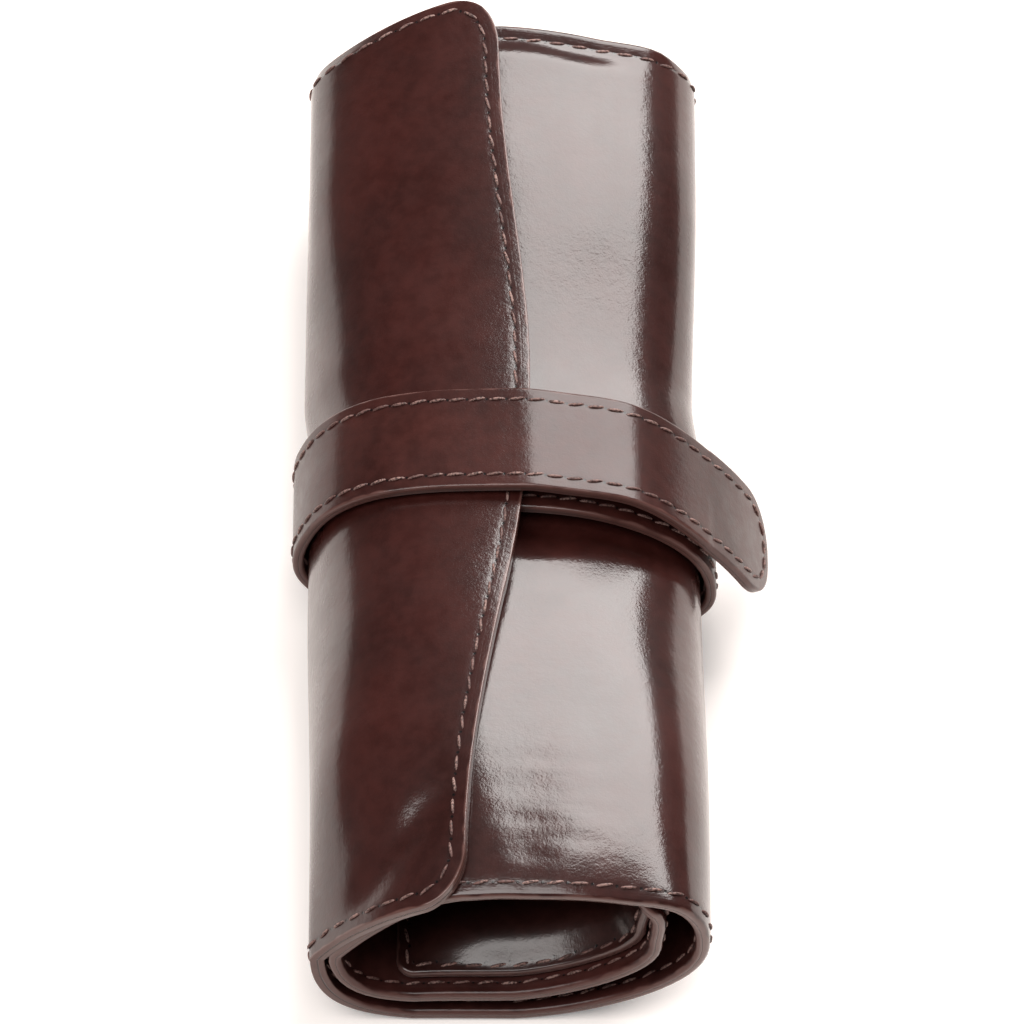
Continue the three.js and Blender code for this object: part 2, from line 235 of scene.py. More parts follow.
outer_finish = leather(
    "oxblood_outer_leather", colour=(0.03, 0.0066, 0.0052), edge_colour=(0.1, 0.045, 0.038),
    mottle=0.25, gloss=0.45, coat=1.0, coat_roughness=0.14,
)
strap_finish = leather(
    "oxblood_strap_leather", colour=(0.035, 0.0088, 0.007), edge_colour=(0.095, 0.042, 0.036),
    mottle=0.28, gloss=0.5, coat=0.62, coat_roughness=0.17,
)
lining_finish = leather(
    "dark_lining_leather", colour=(0.038, 0.0115, 0.0098), edge_colour=(0.095, 0.043, 0.037),
    mottle=0.3, gloss=0.4, coat=0.5, coat_roughness=0.22,
)
# The pocket's leather and edge are darker than the other leathers: painted shade for the inside of the roll
pocket_finish_painted_shade = leather(
    "smooth_pocket_leather", colour=(0.026, 0.008, 0.0068), edge_colour=(0.08, 0.036, 0.031),
    mottle=0.3, gloss=0.4, coat=1.0, coat_roughness=0.2,
)

# Thread: waxed, twisted from three strands, and a little lighter than the leather. Its wear is clouds of
# colour, the darker clouds between its strands are painted shade, and the strands also stand out a little.
thread_finish = bpy.data.materials.new("waxed_thread")
thread_finish.use_nodes = True
tree = thread_finish.node_tree
shader = tree.nodes["Principled BSDF"]
place = new_node(tree, "ShaderNodeTexCoord").outputs["Object"]
wear = clouds(tree, place, 160, 2)
tone = blend_colour(tree, fade(tree, wear, 0.3, 0.7), (0.11, 0.048, 0.041, 1), (0.28, 0.17, 0.148, 1))
strands = clouds(tree, place, 2600, 1)
# Painted shade: the thread is darker where the strands part
twisted = blend_colour(tree, fade(tree, strands, 0.35, 0.6), (0.042, 0.016, 0.013, 1), tone)
tree.links.new(twisted, shader.inputs["Base Color"])
bump = new_node(tree, "ShaderNodeBump", {"Height": strands, "Strength": 0.6, "Distance": 0.15 * MM})
tree.links.new(bump.outputs[0], shader.inputs["Normal"])
shader.inputs["Roughness"].default_value = 0.55


# Coiled sheet: the leather from below the left side, round the right and in under the flap, about two turns
# to its inner end. Two plies sewn together round the edge with one burnished rim. It is one changing oval
# section, drawn in and lifted off the table in the middle by the strap. Sizes are in mm. Degrees run round
# the section from its right side over the top, and on past 360 for the inner turns.
roll_length = 175.0
half_length = roll_length / 2
wall = 2.4
layer = 2.7
flat_half = 16.0
strap_edge = 13.0
cinch_reach = 50.0
turn = 2.75
underside_power = 2.1
bend_degrees = 168.0
strap_root_degrees = 112.0
inner_end_degrees = 768.0
under_cut_degrees = 262.0
edge_round = 0.8


def mix(first, second, share):
    return first + (second - first) * share


def smooth(share):
    s = np.clip(share, 0, 1)
    return s * s * (3 - 2 * s)


def cinch_at(y):
    return 1 - smooth((np.abs(y) - flat_half) / cinch_reach)


def section_at(y):
    cinch = cinch_at(y)
    near = y < 0
    rest = layer * cinch
    widest = mix(np.where(near, 23.0, 25.0), 17.3, cinch)
    behind = smooth((y - strap_edge) / 11) * mix(0.3, 1, cinch)
    crown = mix(2.5, 2.0, smooth((y + half_length) / roll_length))
    shoulder = 1 - smooth((y + half_length) / 35)
    return {
        "centre": np.where(near, 0.9 * (1 - cinch), 0.0) - 1.1 * behind,
        "lean": np.where(near, 7.0 * (1 - cinch), 0.0),
        "half": mix(np.where(near, 65.8, 66.8), 66.0, cinch) / 2,
        "widest": widest,
        "rise": mix(np.where(near, 42.3, 41.2), 35.8, cinch) - widest,
        "drop": widest - rest + 0.6,
        "rest": rest,
        "crown": crown,
        "left_drop": 3.5 * shoulder,
        "left_width_power": mix(crown, 2.0, shoulder),
        "left_height_power": mix(crown, 1.05, shoulder),
    }


def on_section(degrees, depth, y):
    degrees, depth, y = (np.asarray(v, float) for v in np.broadcast_arrays(degrees, depth, y))
    section = section_at(y)
    c, s = np.cos(np.radians(degrees)), np.sin(np.radians(degrees))
    top_width_power = np.where(c < 0, section["left_width_power"], section["crown"])
    top_height_power = np.where(c < 0, section["left_height_power"], section["crown"])
    width_power = np.where(s > 0, top_width_power, underside_power)
    height_power = np.where(s > 0, top_height_power, underside_power)
    reach = np.where(s > 0, section["rise"], section["drop"])
    leaned = np.where(s < 0, section["lean"] * s**2, 0)
    dropped = np.where(c < 0, section["left_drop"] * c**2, 0)
    x = section["centre"] - leaned + (section["half"] - depth) * np.sign(c) * np.abs(c) ** (2 / width_power)
    z = section["widest"] - dropped + (reach - depth) * np.sign(s) * np.abs(s) ** (2 / height_power)
    return np.stack([x, y, np.maximum(z, section["rest"] + depth)], -1)


def coil_depth(degrees, y):
    degrees, y = np.broadcast_arrays(np.asarray(degrees, float), np.asarray(y, float))
    slack = 1 - 0.7 * cinch_at(y)
    nothing = 0 * slack
    stops = [
        (bend_degrees, nothing), (420.0, nothing), (528.0, nothing + turn), (630.0, turn + 2.8 * slack),
        (720.0, turn + 4.9 * slack), (inner_end_degrees, turn + 0.3 * slack),
    ]
    depth = nothing
    for (start, shallow), (end, deep) in zip(stops, stops[1:]):
        share = smooth((degrees - start) / (end - start))
        depth = np.where(degrees >= start, mix(shallow, deep, share), depth)
    return depth


# How far to the right the flap's bowed free edge lies, which also presses a step into the leather below it
def free_edge_at(y):
    along = (y + half_length) / roll_length
    return mix(-6.3, -1.2, along) + 7.2 * np.cos(math.pi * (y - 6) / roll_length) ** 2


# Share of a strip that starts and ends softly
def strip(place, start, end, fade_in, fade_out):
    return smooth((place - start) / fade_in) * smooth((end - place) / fade_out)


# Relief of the top right of the turns, as mm inwards: a valley along the far seam and a margin that rises
# again, a dip before the strap's ring, and leather that falls away to the right of the flap's free edge
def top_right_relief(degrees, x, y):
    seam_valley = 0.9 * smooth((y - 81.0 + 0.04 * x - 0.25 * np.sin(x / 2.6)) / 4.1)
    margin_rise = 0.54 * np.clip(y - 85.1, 0, None)
    turned = np.mod(degrees + 180, 360) - 180
    ring_edge = -10 - 4.5 * smooth((strap_root_degrees - turned) / strap_root_degrees)
    ring_gap, rounded_share, dip_slope = 1.5, 0.15, 0.27
    reach = mix(8.5, 5.6, smooth((x - 2) / 19))
    sunk = np.clip((y - ring_edge + reach) / (reach - ring_gap), 0, 1)
    sloped = np.where(sunk < rounded_share, sunk**2 / (2 * rounded_share), sunk - rounded_share / 2)
    dip = dip_slope * (reach - ring_gap) * sloped / (1 - rounded_share / 2) * smooth((8 - y) / 12)
    beside_flap = np.clip((x - free_edge_at(y) + 1) / 16, 0, 1)
    pressed = mix(1.15, 0.75, smooth((y + 60) / 45))
    fall = pressed * (1 - (1 - beside_flap) ** 2) * smooth((31 - x) / 15)
    relief = seam_valley * strip(x, -5, 25, 3, 9) - margin_rise * strip(x, -5, 32, 3, 6)
    return relief + dip * strip(x, -1, 33, 3, 8) + fall


# Relief of all the leather, as mm inwards: slow waves, wrinkles across the top at the near end, a dent in
# the flap's near left, a low swelling before the strap, drawn-in margins and the near end's curl
wrinkles = [
    # place along the roll, slant, start and end across, depth, width
    (-62.5, 0.02, -2, 21, 0.10, 1.17), (-65.5, -0.05, 1, 16, 0.13, 0.91), (-68.4, 0.04, -3, 19, 0.12, 1.04),
    (-71.0, -0.03, 3, 22, 0.10, 0.91), (-74.2, 0.05, -3, 14, 0.15, 1.04), (-77.4, 0.0, -1, 18, 0.14, 1.3),
    (-80.3, 0.03, -4, 12, 0.12, 1.04),
]
dent_x, dent_y = -9, -69.5
dent_length, dent_width, dent_depth = 19.1, 2.9, 0.78


def crumple(degrees, y):
    degrees = np.asarray(degrees, float)
    skin = on_section(degrees, 0, y)
    relief = np.array([
        0.11 * noise.noise(Vector((p[0], 0.5 * p[1], p[2])) / 21)
        + 0.03 * noise.noise(Vector((p[0], 0.8 * p[1], p[2])) / 7 + Vector((7, 3, 5)))
        for p in skin.reshape(-1, 3)
    ]).reshape(skin.shape[:-1])
    x, z = skin[..., 0], skin[..., 2]
    on_top = z > section_at(y)["widest"]
    for along, slant, start, end, depth, width in wrinkles:
        off_wrinkle = (y - along - slant * x - 0.5 * np.sin(x / 2.7 + along)) / width
        relief += depth * np.exp(-(off_wrinkle**2)) * strip(x, start, end, 4, 6) * on_top
    along_dent = ((x - dent_x) * -0.733 + (y - dent_y) * -0.68) / dent_length
    off_dent = ((x - dent_x) * 0.68 + (y - dent_y) * -0.733) / dent_width
    relief += dent_depth * np.exp(-(off_dent**2)) * strip(along_dent, -0.2, 1.3, 0.5, 0.5) * on_top
    top_right_turns = (degrees > 340) & ((degrees < 470) | (degrees > 700))
    relief += top_right_relief(degrees, x, y) * on_top * top_right_turns
    relief -= 0.8 * np.exp(-(((y + 33) / 13) ** 2)) * smooth((31 - np.abs(x)) / 14) * on_top
    relief += np.where(y < 0, 0.08, 0.25) * np.clip(np.abs(y) - half_length + 2.6, 0, None)
    relief += 1.9 * np.clip((-70 - y) / 17.5, 0, 1) ** 2 * strip(x, -14, 31, 10, 10) * on_top
    on_table = np.clip(1 - z, 0, 1)
    return relief + on_table * np.maximum(-relief, 0)


def end_share(y):
    return smooth((np.abs(y) - flat_half - cinch_reach) / (half_length - flat_half - cinch_reach))


def coil_place(degrees, y, inward=0.0):
    point = on_section(degrees, coil_depth(degrees, y) + inward, y)
    point[..., 1] += np.where(y > 0, 1.5 * smooth((degrees - 405) / 50) * end_share(y), 0)
    return point


# Where a place measured along a sheet from its own end lies, as degrees of the section
def unrolled(place, first, last, y_low=-half_length, y_high=half_length):
    rows = np.linspace(y_low, y_high, 61)
    starts, ends = (np.broadcast_to(np.asarray(v(rows), float), rows.shape) for v in (first, last))
    share = np.linspace(0, 1, 700)
    degrees = starts[:, None] + (ends - starts)[:, None] * share
    points = place(degrees, rows[:, None])
    steps = np.linalg.norm(np.diff(points, axis=1), axis=2)
    runs = np.concatenate([np.zeros((len(rows), 1)), np.cumsum(steps, axis=1)], axis=1)
    length = float(np.mean(runs[:, -1]))

    def degrees_at(run, y):
        row = np.clip((y - y_low) / (y_high - y_low) * (len(rows) - 1), 0, len(rows) - 1.001)
        low = row.astype(int)
        result = np.zeros(np.shape(run))
        for k in np.unique(low):
            here = low == k
            found = []
            for r in (k, k + 1):
                true_run = run[here] + (runs[r, -1] - length) * smooth(run[here] / length)
                found.append(np.interp(true_run, runs[r], degrees[r]))
            result[here] = mix(found[0], found[1], row[here] - k)
        return result

    return degrees_at, length


# Square corners of a piece's end are drawn in to arcs. Gives the place and the distance from the edge.
def rounded(a, b, length, width, radius, ends):
    q = np.minimum(b, width - b)
    a_out, q_out, from_edge = a.copy(), q.copy(), q.copy()
    for mirrored in ends:
        p = length - a if mirrored else a
        e = np.minimum(p, q)
        share = (np.maximum(p, q) - e) / np.maximum(radius - e, 1e-6)
        angle = math.pi / 4 * (1 - share)
        inside = (p < radius) & (q < radius)
        longer, shorter = radius - (radius - e) * np.sin(angle), radius - (radius - e) * np.cos(angle)
        p_new = np.where(inside, np.where(q <= p, longer, shorter), p)
        q_out = np.where(inside, np.where(q <= p, shorter, longer), q_out)
        a_out = np.where(inside, length - p_new if mirrored else p_new, a_out)
        from_edge = np.minimum(from_edge, p)
    return a_out, np.where(b <= width / 2, q_out, width - q_out), from_edge


# Seam line of a piece, a fixed distance inside its edge, as places on the flat leather
def seam_line(length, width, radius, inset, ends):
    step = 0.25
    arc = radius - inset
    quarter = np.linspace(0, math.pi / 2, max(int(arc * math.pi / 2 / step), 2))

    def straight(a0, b0, a1, b1):
        share = np.linspace(0, 1, max(int(math.hypot(a1 - a0, b1 - b0) / step), 2))
        return np.stack([mix(a0, a1, share), mix(b0, b1, share)], -1)

    start_round = radius if False in ends else 0
    end_round = radius if True in ends else 0
    near = straight(length - end_round, inset, start_round, inset)
    far = straight(start_round, width - inset, length - end_round, width - inset)
    if not ends:
        return [near[::-1], far]
    sine, cosine = arc * np.sin(quarter), arc * np.cos(quarter)
    parts = [near]
    if False in ends:
        parts.append(np.stack([radius - sine, radius - cosine], -1))
        parts.append(straight(inset, radius, inset, width - radius))
        parts.append(np.stack([radius - cosine, width - radius + sine], -1))
    parts.append(far)
    if True in ends:
        parts.append(np.stack([length - radius + sine, width - radius + cosine], -1))
        parts.append(straight(length - inset, width - radius, length - inset, radius))
        parts.append(np.stack([length - radius + cosine, radius - sine], -1))
    return [np.concatenate(parts)]


# Stations close together at an edge, where the rim is rounded and the seam draws the leather in
rim_stations = [edge_round * (1 - math.cos(math.radians(k * 15))) for k in range(6)] + [edge_round]
seam_stations = [1.35, 1.7, 2.0, 2.2, 2.4, 2.6, 2.8, 3.1, 3.5, 4.1, 5.0]


def stations(length, step, low_edge, high_edge):
    low = [0.0, 0.15, 0.5] if not low_edge else rim_stations + seam_stations
    high = [0.0, 0.15, 0.5] if not high_edge else rim_stations + seam_stations
    middle = length - low[-1] - high[-1]
    count = max(int(middle / step), 1)
    inner = [low[-1] + middle * k / count for k in range(1, count)]
    return np.array(low + inner + [length - v for v in reversed(high)])


def surface_normal(place, a, b, sign):
    da = place(a + 0.05, b) - place(a - 0.05, b)
    db = place(a, b + 0.05) - place(a, b - 0.05)
    n = np.cross(da, db) * sign
    return n / np.linalg.norm(n, axis=-1, keepdims=True)


# Cuts a piece, lays it, gives it its thickness, rounds its rim, draws in its seam and marks the seam map.
# ends says which ends have round corners, False for the start and True for the end of the length.
def lay_leather(
    name, place, length, width, radius, ends, thickness, finishes, step, across_step, seams,
    inset=seam_inset, stitch_pitch=pitch, rounding=lambda a: edge_round,
):
    along = stations(length, step, False in ends, True in ends)
    across = stations(width, across_step, True, True)
    bpy.ops.object.select_all(action="DESELECT")
    bpy.ops.mesh.primitive_grid_add(x_subdivisions=len(along) - 1, y_subdivisions=len(across) - 1, size=1)
    piece = bpy.context.object
    piece.name = piece.data.name = name
    count = len(piece.data.vertices)
    flat = np.empty(count * 3)
    piece.data.vertices.foreach_get("co", flat)
    flat = flat.reshape(-1, 3)
    i = np.rint((flat[:, 0] + 0.5) * (len(along) - 1)).astype(int)
    j = np.rint((flat[:, 1] + 0.5) * (len(across) - 1)).astype(int)
    a, b, from_edge = rounded(along[i], across[j], length, width, radius, ends)
    skin = place(a, b)
    piece.data.vertices.foreach_set("co", (skin * MM).ravel())
    piece.data.update()
    normals = np.empty(count * 3)
    piece.data.vertex_normals.foreach_get("vector", normals)
    normals = normals.reshape(-1, 3)
    outward = skin - np.stack([0 * skin[:, 0], skin[:, 1], 0 * skin[:, 0] + 20], -1)
    if np.sum(normals * outward) < 0:
        piece.data.flip_normals()
        normals = -normals
    tree = KDTree(sum(len(line) for line in seams))
    runs = []
    for line in seams:
        points = place(line[:, 0], line[:, 1])
        run = np.concatenate([[0], np.cumsum(np.linalg.norm(np.diff(points, axis=0), axis=1))])
        run *= max(round(run[-1] / stitch_pitch), 1) / run[-1]
        for point in points:
            tree.insert(point, len(runs))
            runs.append(0)
        runs[-len(run):] = run
    tree.balance()
    seam_run = np.array([runs[tree.find(point)[1]] for point in skin])
    for finish in finishes:
        piece.data.materials.append(finish)
    uv = piece.data.uv_layers.new(name="seam")
    corners = np.empty(len(piece.data.loops), int)
    piece.data.loops.foreach_get("vertex_index", corners)
    uv.data.foreach_set("uv", np.stack([seam_run[corners], from_edge[corners]], -1).ravel())
    solid = piece.modifiers.new("thickness", "SOLIDIFY")
    solid.thickness = thickness * MM
    solid.offset = -1
    solid.use_even_offset = True
    solid.use_quality_normals = True
    solid.material_offset = 1
    solid.material_offset_rim = 0
    bpy.ops.object.modifier_apply(modifier="thickness")
    whole = np.empty(len(piece.data.vertices) * 3)
    piece.data.vertices.foreach_get("co", whole)
    whole = whole.reshape(-1, 3)
    rim = np.minimum(rounding(a), thickness * 0.4)
    e = np.minimum(from_edge, rim)
    drawn_in = rim - np.sqrt(np.maximum(rim**2 - (rim - e) ** 2, 0))
    groove_depth, groove_width = 0.025, 0.55
    drawn_in += groove_depth * np.exp(-(((from_edge - inset) / groove_width) ** 2))
    whole[:count] -= normals * drawn_in[:, None] * MM
    whole[count:] += normals * drawn_in[:, None] * MM
    piece.data.vertices.foreach_set("co", whole.ravel())
    face = piece.data.attributes.new("face", "FLOAT", "POINT")
    face.data.foreach_set("value", np.repeat([0.0, 1.0], count))
    cut_columns = {0, len(along) - 1} - {0 if not mirrored else len(along) - 1 for mirrored in ends}
    at_cut = np.tile(np.isin(i, list(cut_columns)), 2)
    for edge in piece.data.edges:
        edge.use_edge_sharp = bool(at_cut[edge.vertices[0]] and at_cut[edge.vertices[1]])
    piece.data.update()
    bpy.ops.object.shade_smooth()
    return piece


# Which way round a piece's face points outwards from the roll
def thread_side(place, run, across=half_length):
    a, b = np.array([run / 2]), np.array([across])
    point = place(a, b)[0]
    return 1 if surface_normal(place, a, b, 1)[0] @ (point - np.array([0, point[1], 20])) > 0 else -1


# One stitch: a short thread that dives into a needle hole at both ends
bpy.ops.object.select_all(action="DESELECT")
bpy.ops.mesh.primitive_uv_sphere_add(segments=6, ring_count=7, radius=0.5)
stitch = bpy.context.object
stitch.name = "stitch_pattern"
stitch_length, thread_width, thread_height, dive, lift = 3.2, 0.56, 0.5, 0.4, 0.1
for vertex in stitch.data.vertices:
    x, y, z = vertex.co
    bowed = x * thread_height - dive * (2 * z) ** 4 + lift
    vertex.co = Vector((z * stitch_length, y * thread_width, bowed)) * MM
bpy.ops.object.shade_smooth()
stitch.data.materials.append(thread_finish)


# Sews a piece along its seam lines on one face, and gives the joined stitches
def sew(name, place, seams, side, inward, slant=8.0, stitch_pitch=pitch):
    made = []
    for line in seams:
        points = place(line[:, 0], line[:, 1])
        run = np.concatenate([[0], np.cumsum(np.linalg.norm(np.diff(points, axis=0), axis=1))])
        count = max(round(run[-1] / stitch_pitch), 1)
        centres = (np.arange(count) + 0.5) / count * run[-1]
        a, b = np.interp(centres, run, line[:, 0]), np.interp(centres, run, line[:, 1])
        a_ahead, b_ahead = (np.interp(centres + 0.3, run, line[:, k]) for k in (0, 1))
        a_back, b_back = (np.interp(centres - 0.3, run, line[:, k]) for k in (0, 1))
        middle, ahead = place(a, b), place(a_ahead, b_ahead) - place(a_back, b_back)
        up = surface_normal(place, a, b, side)
        for k in range(count):
            n = Vector(up[k])
            t = (Vector(ahead[k]) - n * Vector(ahead[k]).dot(n)).normalized()
            n_side = n if inward == 0 else -n
            lean = math.radians(slant + 5 * math.sin(2.3 * k))
            turned = Matrix.Rotation(lean, 3, n_side) @ t
            frame_3 = Matrix((turned, n_side.cross(turned), n_side)).transposed().to_4x4()
            centre = (Vector(middle[k]) - n * inward) * MM
            copy = bpy.data.objects.new(name, stitch.data.copy())
            copy.matrix_world = Matrix.Translation(centre) @ frame_3
            scene.collection.objects.link(copy)
            made.append(copy)
    bpy.ops.object.select_all(action="DESELECT")
    for copy in made:
        copy.select_set(True)
    bpy.context.view_layer.objects.active = made[0]
    bpy.ops.object.join()
    thread = bpy.context.object
    bpy.ops.object.transform_apply(location=True, rotation=True, scale=True)
    thread.name = thread.data.name = name
    return thread


coil_degrees, coil_run = unrolled(
    coil_place, lambda y: inner_end_degrees, lambda y: under_cut_degrees
)


def on_coil(a, b):
    y = b - half_length
    degrees = coil_degrees(a, y)
    return coil_place(degrees, y, crumple(degrees, y))


coil_corner = 4.0
coil_seams = seam_line(coil_run, roll_length, coil_corner, seam_inset, [False])
coil = lay_leather(
    "coil_sheet", on_coil, coil_run, roll_length, coil_corner, [False], wall, [outer_finish, lining_finish],
    step=2.0, across_step=1.1, seams=coil_seams,
)
coil_thread = sew("coil_thread_outer", on_coil, coil_seams, thread_side(on_coil, coil_run), 0)
coil_thread_inner = sew("coil_thread_inner", on_coil, coil_seams, thread_side(on_coil, coil_run), wall)
for piece in (coil, coil_thread, coil_thread_inner):
    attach(piece, "roll")
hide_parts("body_outer_ply", "body_lining_ply")


# Pocket panel: a smooth leaf sewn on the lining of the second turn, for the pens. It stops a little inside
# the open near end. The pen guard is a second leaf, over the other end.
leaf_gap = 0.3
pocket_ply = 1.8
guard_ply = 1.2
leaf_seam = 1.9
leaf_corner = 3.0


def pocket_rise(degrees, y):
    inward = smooth((y - pocket_near) / 8)
    sunk = 1 - smooth((y + 30) / 30)
    left, right = smooth((degrees - pocket_start) / 45), smooth((pocket_end - degrees) / 45)
    return 3.2 * inward * sunk * left * right


def lay_leaf(name, from_degrees, to_degrees, y_low, y_high, depth_at, leaf_ply):
    degrees_of, run = unrolled(
        lambda degrees, y: coil_place(degrees, y, depth_at(degrees, y)),
        lambda y: to_degrees, lambda y: from_degrees, y_low, y_high,
    )

    def on_leaf(a, b):
        y = b + y_low
        degrees = degrees_of(a, y)
        return coil_place(degrees, y, depth_at(degrees, y) + crumple(degrees, y))

    width = y_high - y_low
    seams = seam_line(run, width, leaf_corner, leaf_seam, [False, True])
    leaf = lay_leather(
        name + "_leaf", on_leaf, run, width, leaf_corner, [False, True], leaf_ply, [pocket_finish_painted_shade] * 2,
        step=1.6, across_step=1.6, seams=seams, inset=leaf_seam,
    )
    thread = sew(name + "_thread", on_leaf, seams, thread_side(on_leaf, run), leaf_ply)
    for piece in (leaf, thread):
        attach(piece, "roll")
    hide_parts(name)


pocket_setback, pocket_length, guard_overlap, guard_setback = 3.2, 118, 9, 5
pocket_near = pocket_setback - half_length
pocket_far = pocket_near + pocket_length
pocket_start, pocket_end = 598.0, 758.0
lay_leaf(
    "pocket_panel", pocket_start, pocket_end, pocket_near, pocket_far,
    lambda degrees, y: pocket_rise(degrees, y) + wall + leaf_gap, pocket_ply,
)
lay_leaf(
    "pen_guard", pocket_start + 10, pocket_end - 10, pocket_far - guard_overlap, half_length - guard_setback,
    lambda degrees, y: wall + 2 * leaf_gap + pocket_ply + 0 * degrees, guard_ply,
)


# Flap: the last stretch of the same leather, up the left side and over the top to its bowed free edge. Its
# corners are round, and it stands a little proud of both ends. It lies closed, with its bend at the left
# side.
corner_radius = 9.0
crisp_edge_round = 0.15


def flap_depth(degrees, y):
    lifted = smooth((bend_degrees - degrees) / (bend_degrees - 116.0))
    over = coil_depth(degrees + 360, y) - turn - layer * lifted * cinch_at(y)
    return np.where(degrees > bend_degrees, 0, over)


def edge_degrees(y):
    section = section_at(y)
    share = (free_edge_at(y) - section["centre"]) / section["half"]
    power = np.where(share < 0, section["left_width_power"], section["crown"])
    return np.degrees(np.arccos(np.sign(share) * np.abs(share) ** (power / 2)))


def flap_place(degrees, y, extra=0.0):
    point = on_section(degrees, flap_depth(degrees, y) + extra, y)
    u = smooth((bend_degrees - degrees) / (bend_degrees - edge_degrees(y)))
    point[..., 1] += np.where(y < 0, -2.7, 6.2) * end_share(y) * u**1.5
    return point


flap_degrees, flap_run = unrolled(flap_place, edge_degrees, lambda y: under_cut_degrees)


def on_flap(a, b):
    y = b - half_length
    degrees = flap_degrees(a, y)
    return flap_place(degrees, y, crumple(degrees, y))


flap_seams = seam_line(flap_run, roll_length, corner_radius, seam_inset, [False])
flap = lay_leather(
    "flap_sheet", on_flap, flap_run, roll_length, corner_radius, [False], wall, [outer_finish, lining_finish],
    step=1.3, across_step=1.1, seams=flap_seams,
    rounding=lambda a: mix(crisp_edge_round, edge_round, smooth((a - 55) / 20)),
)
flap_side = thread_side(on_flap, flap_run)
flap_thread = sew("flap_thread_outer", on_flap, flap_seams, flap_side, 0)
flap_thread_inner = sew("flap_thread_inner", on_flap, flap_seams, flap_side, wall)
for piece in (flap, flap_thread, flap_thread_inner):
    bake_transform(piece)
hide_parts("flap_outer_ply", "flap_lining_ply")


# Strap: two plies sewn along both edges, wound once round the middle from its root under the flap, then
# crossed over the flap and down the right side, where its round-tipped tail stands off.
strap_width = 20.0
strap_half = strap_width / 2
strap_wall = 1.9
strap_pitch = 3.35
strap_edge_round = 0.5
root_corner = 3.0
front_cut_degrees = 128.0
tail_degrees = 27.0
tail_length = 21.5
tail_bow = math.radians(9.0)
tip_radius = 9.0


def strap_place(degrees, across, depth, drift):
    y = across - strap_half + drift
    return on_section(degrees, depth, y)


def wound_drift(degrees):
    back_left = smooth(-degrees / 176)
    round_right = smooth((strap_root_degrees - degrees) / strap_root_degrees)
    return -4.5 * (round_right - back_left) + 1.5 * back_left


def on_wound_at(degrees, across):
    depth = coil_depth(degrees + 360, 0 * degrees) - layer
    return strap_place(degrees, across, depth, wound_drift(degrees))


def front_depth(degrees):
    edge = float(edge_degrees(np.array(0.0)))
    over = flap_depth(np.asarray(degrees, float), 0 * degrees) - layer
    at_edge = float(flap_depth(np.array(edge), np.array(0.0))) - layer
    lowered = smooth((edge - degrees) / (edge - 55))
    past_edge = smooth((edge - degrees) / (edge - 60))
    clear = 1.6 * past_edge * smooth((degrees - tail_degrees) / (60 - tail_degrees))
    shoulder = 0.9 * np.exp(-(((degrees - 61) / 12) ** 2))
    crease = 0.4 * np.exp(-(((degrees - edge) / 6) ** 2))
    lower = mix(at_edge, -2 * layer, lowered) - clear - shoulder
    left = np.where(degrees >= bend_degrees, -layer, over)
    return np.where(degrees >= edge, left, lower) - crease


def front_drift(degrees):
    return 1.5 - 4.6 * smooth((150.0 - degrees) / 150.0)


def on_front_at(degrees, across):
    return strap_place(degrees, across, front_depth(degrees), front_drift(degrees))


tail_root = on_section(tail_degrees, -2 * layer, 0.0)
tail_ahead = on_section(tail_degrees - 1, -2 * layer, 0.0) - on_section(tail_degrees + 1, -2 * layer, 0.0)
tail_heading = math.atan2(tail_ahead[2], tail_ahead[0])


def on_tail_at(run, across):
    turned = tail_heading - tail_bow * run / tail_length
    x = tail_root[0] + run * np.cos(turned)
    z = tail_root[2] + run * np.sin(turned)
    y = across - strap_half + float(front_drift(np.array(tail_degrees)))
    return np.stack([x, y + 0 * x, z], -1)


def strap_table(place_at, first, last):
    degrees = np.linspace(first, last, 3000)
    points = place_at(degrees, strap_half + 0 * degrees)
    run = np.concatenate([[0], np.cumsum(np.linalg.norm(np.diff(points, axis=0), axis=1))])
    return degrees, run


def sew_strap(name, place, run, seams):
    side = thread_side(place, run, strap_half)
    return [
        sew(name + "_thread_outer", place, seams, side, 0, stitch_pitch=strap_pitch),
        sew(name + "_thread_inner", place, seams, side, strap_wall, stitch_pitch=strap_pitch),
    ]


# From the root under the flap, round the right side to below the left
wound_degrees, wound_runs = strap_table(on_wound_at, strap_root_degrees, under_cut_degrees - 360)
wound_run = float(wound_runs[-1])


def on_wound(a, b):
    return on_wound_at(np.interp(a, wound_runs, wound_degrees), b)


wound_seams = seam_line(wound_run, strap_width, root_corner, seam_inset, [False])
strap_wound = lay_leather(
    "strap_wound", on_wound, wound_run, strap_width, root_corner, [False], strap_wall,
    [strap_finish, lining_finish], step=0.9, across_step=0.9, seams=wound_seams, stitch_pitch=strap_pitch,
    rounding=lambda a: strap_edge_round,
)
wound_threads = sew_strap("strap_wound", on_wound, wound_run, wound_seams)
for piece in (strap_wound, *wound_threads):
    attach(piece, "roll")
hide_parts("strap_wound_face_ply", "strap_wound_back_ply")


# From below the left side up round the bend to the top of the flap
def on_left_at(degrees, across):
    wound = on_wound_at(degrees - 360, across)
    front = on_front_at(degrees, across)
    return np.where((degrees > 184)[:, None], wound, front)


left_degrees, left_runs = strap_table(on_left_at, front_cut_degrees, under_cut_degrees)
left_run = float(left_runs[-1])


def on_left(a, b):
    return on_left_at(np.interp(a, left_runs, left_degrees), b)


left_seams = seam_line(left_run, strap_width, 0, seam_inset, [])
strap_left = lay_leather(
    "strap_left", on_left, left_run, strap_width, 0, [], strap_wall, [strap_finish, lining_finish],
    step=0.9, across_step=0.9, seams=left_seams, stitch_pitch=strap_pitch,
    rounding=lambda a: strap_edge_round,
)
left_threads = sew_strap("strap_left", on_left, left_run, left_seams)
for piece in (strap_left, *left_threads):
    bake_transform(piece)
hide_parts("strap_front_back_ply")


# Over the flap, down the right side and out into the tail
front_degrees, front_runs = strap_table(on_front_at, front_cut_degrees, tail_degrees)
front_run = float(front_runs[-1]) + tail_length


